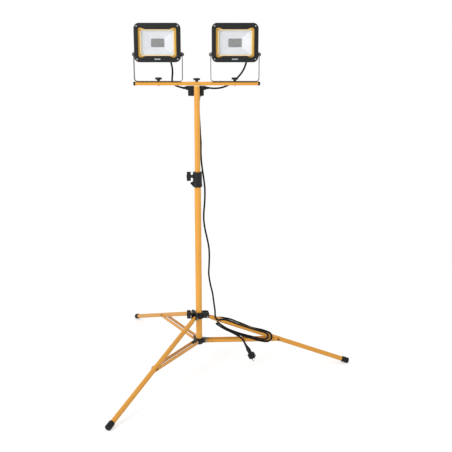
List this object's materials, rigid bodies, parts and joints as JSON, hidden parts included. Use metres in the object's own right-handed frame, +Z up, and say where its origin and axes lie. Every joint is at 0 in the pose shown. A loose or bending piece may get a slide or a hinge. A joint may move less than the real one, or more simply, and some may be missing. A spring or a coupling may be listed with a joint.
{
  "type": "work light",
  "caption": "Twin-head LED floodlight on a telescopic mast with a folding tripod, tilting lamp heads, clamp knobs, and a supply cable wound on one leg.",
  "frame": {"origin": "on the floor, below the middle of the tripod's footprint", "axes": "+Z up along the mast, lamps facing -Y, crossbar along X"},
  "size_m": [1.2248, 1.3921, 1.749],
  "materials": {
    "yellow_paint": "smooth gloss powder coat",
    "black_moulding": "fine moulded grain",
    "nylon": "smooth nylon",
    "rubber": "matt rubber",
    "cable_rubber": "matt rubber sheath",
    "zinc_steel": "zinc plated",
    "bracket_steel": "satin grey coat",
    "charcoal_coat": "die-cast, fine charcoal powder coat",
    "amber_trim": "satin amber",
    "clear_glass": "clear toughened glass",
    "white_reflector": "white satin",
    "led_board": "board with rows of LEDs",
    "driver_case": "plain",
    "plug_pins": "nickel plated"
  },
  "bodies": {
    "tripod": {"mast_lower": "yellow_paint", "clamp_collar": "black_moulding", "collar_bush": "nylon", "hub_lower": "black_moulding", "hub_lower_pins": "zinc_steel"},
    "collar_knob": {"collar_knob": "black_moulding"},
    "crown": {"hub_upper": "black_moulding", "hub_pins": "zinc_steel"},
    "crown_knob": {"hub_knob": "black_moulding"},
    "leg_a": {"leg_a": "yellow_paint", "foot_a": "rubber"},
    "leg_b": {"leg_b": "yellow_paint", "foot_b": "rubber", "main_cable": "cable_rubber", "plug": "rubber", "plug_pins": "plug_pins"},
    "leg_c": {"leg_c": "yellow_paint", "foot_c": "rubber"},
    "brace_a": {"brace_a": "yellow_paint"},
    "brace_b": {"brace_b": "yellow_paint"},
    "brace_c": {"brace_c": "yellow_paint"},
    "upper_mast": {"mast_upper": "yellow_paint", "mast_glide": "nylon", "mast_cap": "yellow_paint", "crossbar": "yellow_paint", "crossbar_plugs": "black_moulding", "box_base": "black_moulding", "box_lid": "black_moulding", "box_glands": "black_moulding", "lead_left": "cable_rubber", "lead_right": "cable_rubber"},
    "centre_knob": {"centre_knob": "black_moulding"},
    "bracket_left": {"bracket_left": "bracket_steel"},
    "bracket_knob_left": {"bracket_knob_left": "black_moulding"},
    "head_left": {"housing_left": "charcoal_coat", "frame_left": "charcoal_coat", "trim_left": "amber_trim", "glass_left": "clear_glass", "gasket_left": "rubber", "reflector_left": "white_reflector", "led_board_left": "led_board", "driver_left": "driver_case", "driver_cover_left": "charcoal_coat", "gland_left": "black_moulding", "screws_left": "zinc_steel", "pivot_bolts_left": "zinc_steel"},
    "bracket_right": {"bracket_right": "bracket_steel"},
    "bracket_knob_right": {"bracket_knob_right": "black_moulding"},
    "head_right": {"housing_right": "charcoal_coat", "frame_right": "charcoal_coat", "trim_right": "amber_trim", "glass_right": "clear_glass", "gasket_right": "rubber", "reflector_right": "white_reflector", "led_board_right": "led_board", "driver_right": "driver_case", "driver_cover_right": "charcoal_coat", "gland_right": "black_moulding", "screws_right": "zinc_steel", "pivot_bolts_right": "zinc_steel"}
  },
  "joints": [
    {"name": "mast_height", "type": "slide", "parent": "tripod", "child": "upper_mast", "axis": [0, 0, 1], "range_m": [-0.36, 0.3], "deforming": ["main_cable"]},
    {"name": "collar_knob_turn", "type": "hinge", "parent": "tripod", "child": "collar_knob", "pos_m": [-0.232, 0.009, 1.011], "axis": [-1, 0, 0], "continuous": true},
    {"name": "tripod_fold", "type": "slide", "parent": "tripod", "child": "crown", "axis": [0, 0, 1], "range_m": [0, 0.635], "deforming": ["main_cable", "plug", "plug_pins"]},
    {"name": "crown_knob_turn", "type": "hinge", "parent": "crown", "child": "crown_knob", "pos_m": [-0.24, 0.009, 0.28], "axis": [-1, 0, 0], "continuous": true},
    {"name": "leg_a_hinge", "type": "hinge", "parent": "crown", "child": "leg_a", "pos_m": [-0.21005, -0.03137, 0.271], "axis": [0.8776, -0.4795, 0], "range_deg": [0, 68.82]},
    {"name": "brace_a_hinge", "type": "hinge", "parent": "tripod", "child": "brace_a", "pos_m": [-0.20718, -0.0261, 0.137], "axis": [-0.8776, 0.4795, 0], "range_deg": [0, 86.3]},
    {"name": "leg_b_hinge", "type": "hinge", "parent": "crown", "child": "leg_b", "pos_m": [-0.14201, 0.01008, 0.271], "axis": [-0.0236, 0.9997, 0], "range_deg": [0, 68.82], "deforming": ["main_cable"]},
    {"name": "brace_b_hinge", "type": "hinge", "parent": "tripod", "child": "brace_b", "pos_m": [-0.14801, 0.00994, 0.137], "axis": [0.0236, -0.9997, 0], "range_deg": [0, 86.3]},
    {"name": "leg_c_hinge", "type": "hinge", "parent": "crown", "child": "leg_c", "pos_m": [-0.21193, 0.04828, 0.271], "axis": [-0.854, -0.5203, 0], "range_deg": [0, 68.82]},
    {"name": "brace_c_hinge", "type": "hinge", "parent": "tripod", "child": "brace_c", "pos_m": [-0.20881, 0.04316, 0.137], "axis": [0.854, 0.5203, 0], "range_deg": [0, 86.3]},
    {"name": "centre_knob_turn", "type": "hinge", "parent": "upper_mast", "child": "centre_knob", "pos_m": [-0.188, 0.009, 1.485], "axis": [0, 0, 1], "continuous": true},
    {"name": "head_left_swivel", "type": "hinge", "parent": "upper_mast", "child": "bracket_left", "pos_m": [-0.3725, 0.009, 1.4767], "axis": [0, 0, 1], "range_deg": [-60, 60], "deforming": ["lead_left"]},
    {"name": "head_left_tilt", "type": "hinge", "parent": "bracket_left", "child": "head_left", "pos_m": [-0.3725, 0.009, 1.603], "axis": [1, 0, 0], "range_deg": [-90, 90], "deforming": ["lead_left"]},
    {"name": "bracket_knob_left_turn", "type": "hinge", "parent": "upper_mast", "child": "bracket_knob_left", "pos_m": [-0.3725, 0.009, 1.488], "axis": [0, 0, 1], "continuous": true},
    {"name": "head_right_swivel", "type": "hinge", "parent": "upper_mast", "child": "bracket_right", "pos_m": [-0.0035, 0.009, 1.4767], "axis": [0, 0, 1], "range_deg": [-60, 60], "deforming": ["lead_right"]},
    {"name": "head_right_tilt", "type": "hinge", "parent": "bracket_right", "child": "head_right", "pos_m": [-0.0035, 0.009, 1.603], "axis": [1, 0, 0], "range_deg": [-90, 90], "deforming": ["lead_right"]},
    {"name": "bracket_knob_right_turn", "type": "hinge", "parent": "upper_mast", "child": "bracket_knob_right", "pos_m": [-0.0035, 0.009, 1.488], "axis": [0, 0, 1], "continuous": true}
  ],
  "couplings": [
    {"joint": "leg_a_hinge", "follows": "tripod_fold", "rad_per_m": 1.891},
    {"joint": "brace_a_hinge", "follows": "tripod_fold", "rad_per_m": 2.3715},
    {"joint": "leg_b_hinge", "follows": "tripod_fold", "rad_per_m": 1.891},
    {"joint": "brace_b_hinge", "follows": "tripod_fold", "rad_per_m": 2.3715},
    {"joint": "leg_c_hinge", "follows": "tripod_fold", "rad_per_m": 1.891},
    {"joint": "brace_c_hinge", "follows": "tripod_fold", "rad_per_m": 2.3715}
  ]
}
